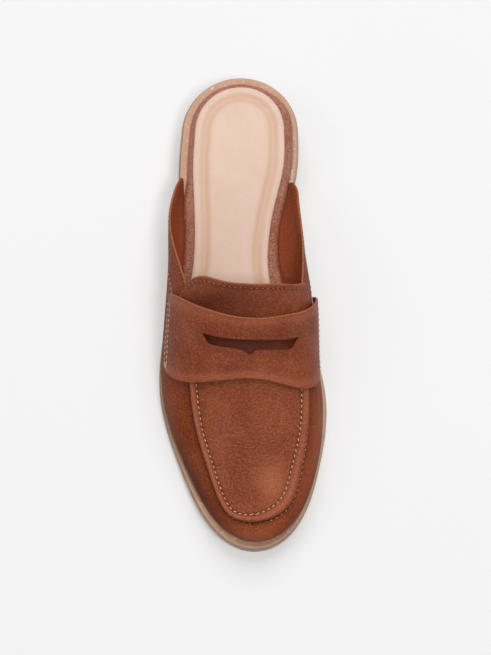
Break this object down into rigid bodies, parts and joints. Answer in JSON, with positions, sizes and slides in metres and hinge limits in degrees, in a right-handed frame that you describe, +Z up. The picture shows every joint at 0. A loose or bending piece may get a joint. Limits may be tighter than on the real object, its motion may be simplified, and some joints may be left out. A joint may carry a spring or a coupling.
{
  "type": "heeled mule",
  "caption": "Backless leather penny-loafer mule for the right foot: hollow upper with raised apron seam, slotted saddle strap, welt, padded footbed and low block heel",
  "frame": {"origin": "centre of the heel's flat underside, on the floor", "axes": "+Y from the toe to the heel along the shoe, +X to the big-toe side, +Z up"},
  "size_m": [0.0928, 0.264, 0.0765],
  "materials": {
    "upper_leather": "cognac pull-up leather, burnished darker toward the welt, satin",
    "apron_leather": "cognac leather with fine creases, satin",
    "strap_leather": "cognac leather with raw light edges",
    "sock_leather": "smooth pink-beige lining leather, soft embossed border",
    "footbed_leather": "brown wrapping leather, rounded edge",
    "welt_rubber": "tan, smooth matt",
    "outsole_rubber": "greyish tan, matt",
    "heel_stack": "stacked layers, tan, satin",
    "lift_rubber": "dark brown rubber, matt"
  },
  "bodies": {
    "root": {"upper": "upper_leather", "apron": "apron_leather", "saddle_strap": "strap_leather", "insole_sock": "sock_leather", "footbed": "footbed_leather", "welt": "welt_rubber", "outsole": "outsole_rubber", "heel_block": "heel_stack", "heel_top_lift": "lift_rubber"}
  },
  "joints": []
}
